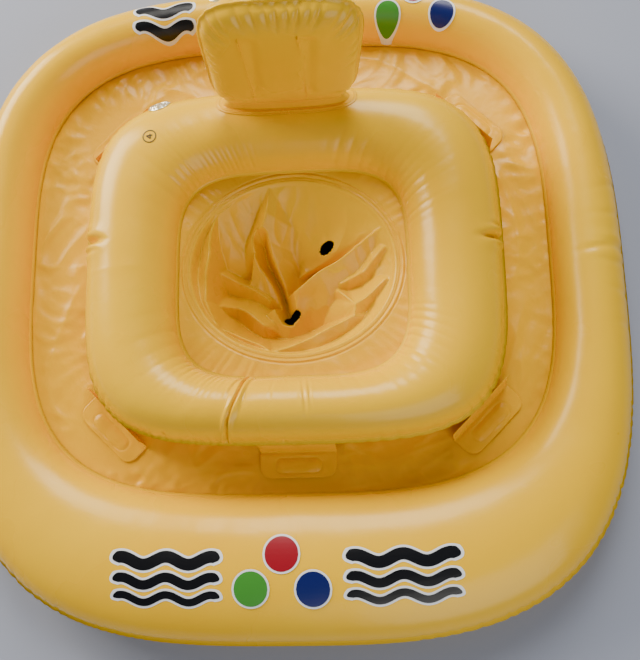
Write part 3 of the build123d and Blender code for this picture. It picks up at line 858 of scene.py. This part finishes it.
prints = {
    "border": 2.4 * mm, "dropBorder": 2.2 * mm, "waveHeight": 4 * mm, "tip": 0.05, "inset": 3 * mm,
    "waveLift": (0.25 * mm, 0.5 * mm), "dropLift": (0.75 * mm, 1.0 * mm), "tilt": 1 * mm,
    # the waves' rows, as a place along Y and a half width
    "frontRows": [(-0.300, 6.2 * mm), (-0.321, 5.0 * mm), (-0.339, 4.0 * mm)],
    "rearRows": [(0.355, 6.0 * mm), (0.334, 5.0 * mm)],
    "drops": {"front": {"green": (-0.036, -0.330), "red": (-0.003, -0.295), "blue": (0.030, -0.331)},
              "rear": {"green": (0.132, 0.336), "red": (0.164, 0.361), "blue": (0.197, 0.332)}},
    "dropRadius": {"front": 18 * mm, "rear": 14 * mm},
}


def layWaves(name, start, end, waves, width):
    inset = prints["inset"] / (Vector(end) - Vector(start)).length
    line = waveLine(start, end, prints["waveHeight"], waves)
    layRibbon(f"{name}_outline", outerTree, line, taper(width + prints["border"], prints["tip"]),
              "white", prints["waveLift"][0], count=220, across=12)
    layRibbon(f"{name}_wave", outerTree, lambda t: line(inset + (1 - 2 * inset) * t),
              taper(width, prints["tip"]), "black", prints["waveLift"][1], count=220, across=10)


def layDrop(name, at, radius, ink):
    layers = zip(("outline", "drop"), (radius + prints["dropBorder"], radius), ("white", ink),
                 prints["dropLift"])
    for part, size, colour, lift in layers:
        layRibbon(f"{name}_{part}", outerTree,
                  lambda t, s=Vector((size, 0)): Vector(at) - s + 2 * s * t,
                  roundShape(size), colour, lift, count=48, across=24)


# the print on the ring: bands of waves beside three drops, front and rear
for row, (y, width) in enumerate(prints["frontRows"]):
    low, high = y - prints["tilt"], y + prints["tilt"]
    layWaves(f"front_print_left_{row + 1}", (-0.188, high), (-0.066, low), 2.5, width)
    layWaves(f"front_print_right_{row + 1}", (0.062, low), (0.188, high), 2.5, width)
for row, (y, width) in enumerate(prints["rearRows"]):
    layWaves(f"rear_print_left_{row + 1}", (-0.182, y), (-0.104, y + prints["tilt"]), 1.5, width)
for place, spots in prints["drops"].items():
    for ink, at in spots.items():
        layDrop(f"{place}_print_{ink}", at, prints["dropRadius"][place], ink)

mark = {"at": (-0.143, 0.166), "radius": 7.4 * mm, "line": 0.55 * mm, "turn": radians(95),
        # the figure's strokes in mm, from end to end
        "strokes": [((0.9, 3.6), (-3.0, -0.9)), ((-3.0, -0.9), (2.9, -0.9)), ((0.9, 3.6), (0.9, -3.6))],
        "stroke": 0.6 * mm, "lift": 0.4 * mm, "strokeLift": 0.45 * mm}


def markPoint(x, y):
    c, s = cos(mark["turn"]), sin(mark["turn"])
    return Vector((mark["at"][0] + (x * c - y * s) * mm, mark["at"][1] + (x * s + y * c) * mm))


layRibbon("chamber_mark_ring", seatTree,
          lambda t: Vector(mark["at"]) + mark["radius"] * Vector((cos(2 * pi * t), sin(2 * pi * t))),
          lambda t: mark["line"], "black", mark["lift"], across=3)
for index, (first, second) in enumerate(mark["strokes"]):
    layRibbon(f"chamber_mark_stroke{index + 1}", seatTree,
              lambda t, a=first, b=second: markPoint(*a) + (markPoint(*b) - markPoint(*a)) * t,
              lambda t: mark["stroke"], "black", mark["strokeLift"], count=24, across=3)
print("prints laid")

nodeFinish = {"outer_baffle": tightVinyl, "backrest_web": tightVinyl, "valve": valveVinyl}
for name, node in frame["nodes"].items():
    for start, material in nodeFinish.items():
        if name.startswith(start):
            node.data.materials.clear()
            node.data.materials.append(material)
print("carried-over nodes finished")


def aim(obj, at):
    obj.rotation_euler = (Vector(at) - obj.location).to_track_quat("-Z", "Y").to_euler()


view = {"at": (0.104, -0.2394, 0.9662), "right": (0.9970, -0.0193, -0.0743),
        "down": (-0.0342, -0.9781, -0.2053), "forward": (-0.0688, 0.2072, -0.9759), "lens": 43.64}
camera = bpy.data.objects.new("camera", bpy.data.cameras.new("camera"))
bpy.context.scene.collection.objects.link(camera)
camera.data.lens = view["lens"]
camera.data.sensor_width = 36
turn = Matrix([view["right"], [-c for c in view["down"]], [-c for c in view["forward"]]]).transposed()
camera.matrix_world = Matrix.Translation(view["at"]) @ turn.to_4x4()
camera.data.clip_end = 50
bpy.context.scene.camera = camera
bpy.context.scene.view_settings.look = "AgX - Punchy"

# each lamp: place, target, size in m, power in W, colour
lights = {"window": ((-2.1, 1.5, 1.25), (0, 0, 0.1), 1.5, 185, "#FFF4E0"),
          "ceiling": ((0.1, 2.3, 2.3), (0, 0, 0), 1.6, 150, "#FFFDF6"),
          "bounce": ((0.9, -1.9, 1.3), (0, 0, 0.1), 1.8, 46, "#FFFCF4")}
for name, (at, target, size, power, tint) in lights.items():
    lamp = bpy.data.objects.new(name, bpy.data.lights.new(name, "AREA"))
    lamp.data.size = size
    lamp.data.energy = power
    lamp.data.color = srgb(tint)[:3]
    lamp.location = at
    bpy.context.scene.collection.objects.link(lamp)
    aim(lamp, target)

world = bpy.data.worlds.new("soft room")
bpy.context.scene.world = world
world.use_nodes = True
world.node_tree.nodes["Background"].inputs["Color"].default_value = srgb("#DDE2EA")
world.node_tree.nodes["Background"].inputs["Strength"].default_value = 0.42

floorMesh = bmesh.new()
bmesh.ops.create_grid(floorMesh, x_segments=2, y_segments=2, size=6)
paleFloor = bpy.data.materials.new("pale matt floor")
paleFloor.use_nodes = True
paleTree = paleFloor.node_tree
paleTree.nodes["Principled BSDF"].inputs["Base Color"].default_value = srgb("#9AA0B2")
paleTree.nodes["Principled BSDF"].inputs["Roughness"].default_value = 0.75
floorPiece = addPiece("floor", floorMesh, paleFloor, None)
print("camera, lights and floor placed")
